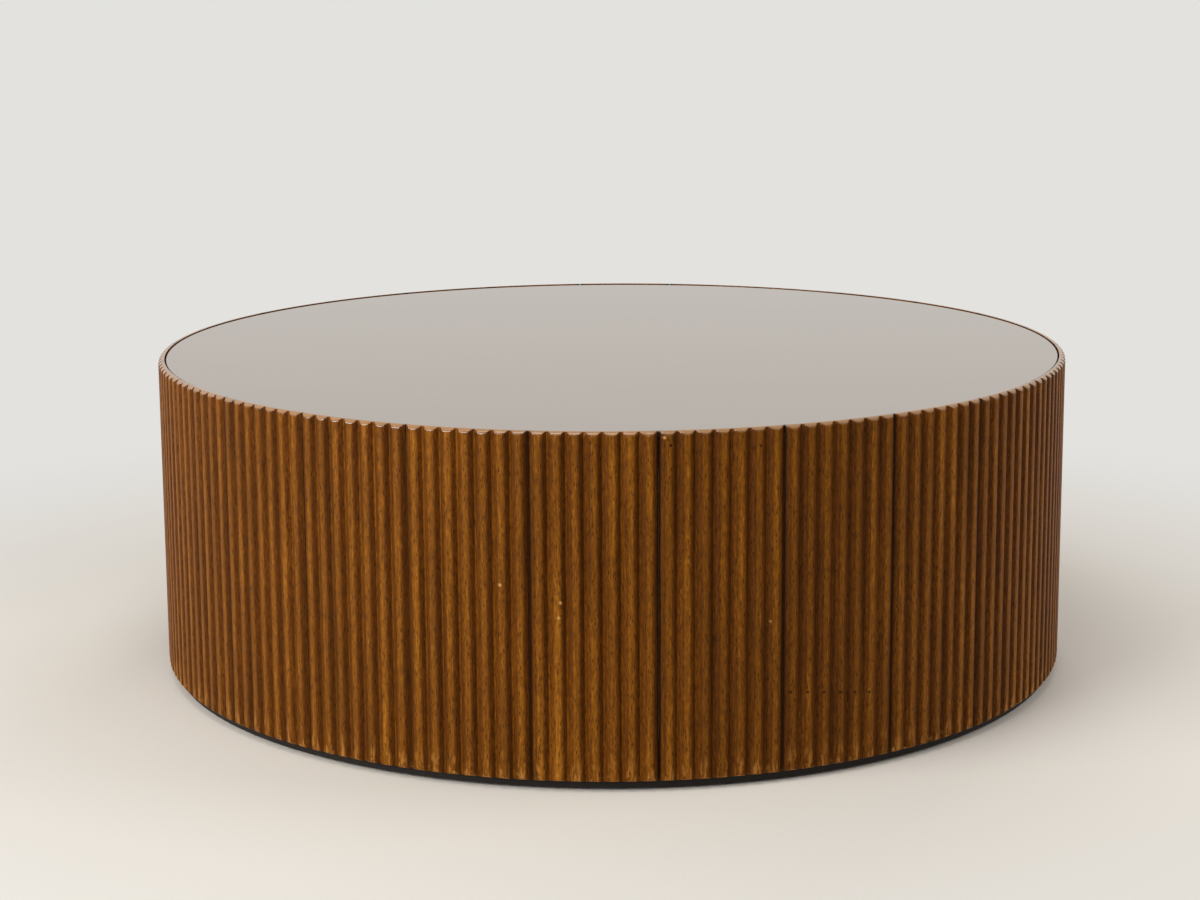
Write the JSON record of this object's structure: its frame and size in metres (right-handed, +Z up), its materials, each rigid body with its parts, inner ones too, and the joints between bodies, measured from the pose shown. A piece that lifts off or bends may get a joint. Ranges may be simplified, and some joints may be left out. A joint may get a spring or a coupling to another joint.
{
  "type": "coffee table",
  "caption": "Low round drum coffee table: a wall of upright reeded wood staves on a recessed plinth, with a tinted mirror disc lying in its rimmed top.",
  "frame": {"origin": "on the floor at the drum's axis", "axes": "+Z up along the drum's axis, front towards -Y with one stave centred on it, +X to the right"},
  "size_m": [1.0668, 1.067, 0.368],
  "materials": {
    "stained_wood": "satin lacquer",
    "tinted_mirror": "polished",
    "felt": "felt",
    "plywood": "raw",
    "softwood": "raw",
    "beech_dowel": "raw",
    "blackened_wood": "matt black stain",
    "zinc_steel": "zinc plated",
    "nylon": "matt"
  },
  "bodies": {
    "drum": {"base_ring_01": "plywood", "base_ring_02": "plywood", "base_ring_03": "plywood", "base_ring_04": "plywood", "base_ring_05": "plywood", "base_ring_06": "plywood", "base_ring_07": "plywood", "base_ring_08": "plywood", "base_ring_09": "plywood", "base_ring_10": "plywood", "base_ring_11": "plywood", "base_ring_12": "plywood", "batten_screws": "zinc_steel", "batten_x": "softwood", "batten_y": "softwood", "glide_nails": "zinc_steel", "glide_pads": "nylon", "mirror_pads": "felt", "plinth_1": "blackened_wood", "plinth_2": "blackened_wood", "plinth_3": "blackened_wood", "plinth_4": "blackened_wood", "plinth_5": "blackened_wood", "plinth_6": "blackened_wood", "plinth_screws": "zinc_steel", "ring_dowels": "beech_dowel", "stave_01": "stained_wood", "stave_02": "stained_wood", "stave_03": "stained_wood", "stave_04": "stained_wood", "stave_05": "stained_wood", "stave_06": "stained_wood", "stave_07": "stained_wood", "stave_08": "stained_wood", "stave_09": "stained_wood", "stave_10": "stained_wood", "stave_11": "stained_wood", "stave_12": "stained_wood", "stave_13": "stained_wood", "stave_14": "stained_wood", "stave_15": "stained_wood", "stave_16": "stained_wood", "stave_17": "stained_wood", "stave_18": "stained_wood", "stave_19": "stained_wood", "stave_20": "stained_wood", "stave_21": "stained_wood", "stave_22": "stained_wood", "stave_23": "stained_wood", "stave_24": "stained_wood", "stave_25": "stained_wood", "stave_26": "stained_wood", "stave_splines": "plywood", "top_panel": "plywood"},
    "mirror": {"mirror_glass": "tinted_mirror"}
  },
  "joints": [
    {"name": "mirror_lift", "type": "slide", "parent": "drum", "child": "mirror", "axis": [0, 0, 1], "range_m": [0, 0.08]}
  ]
}
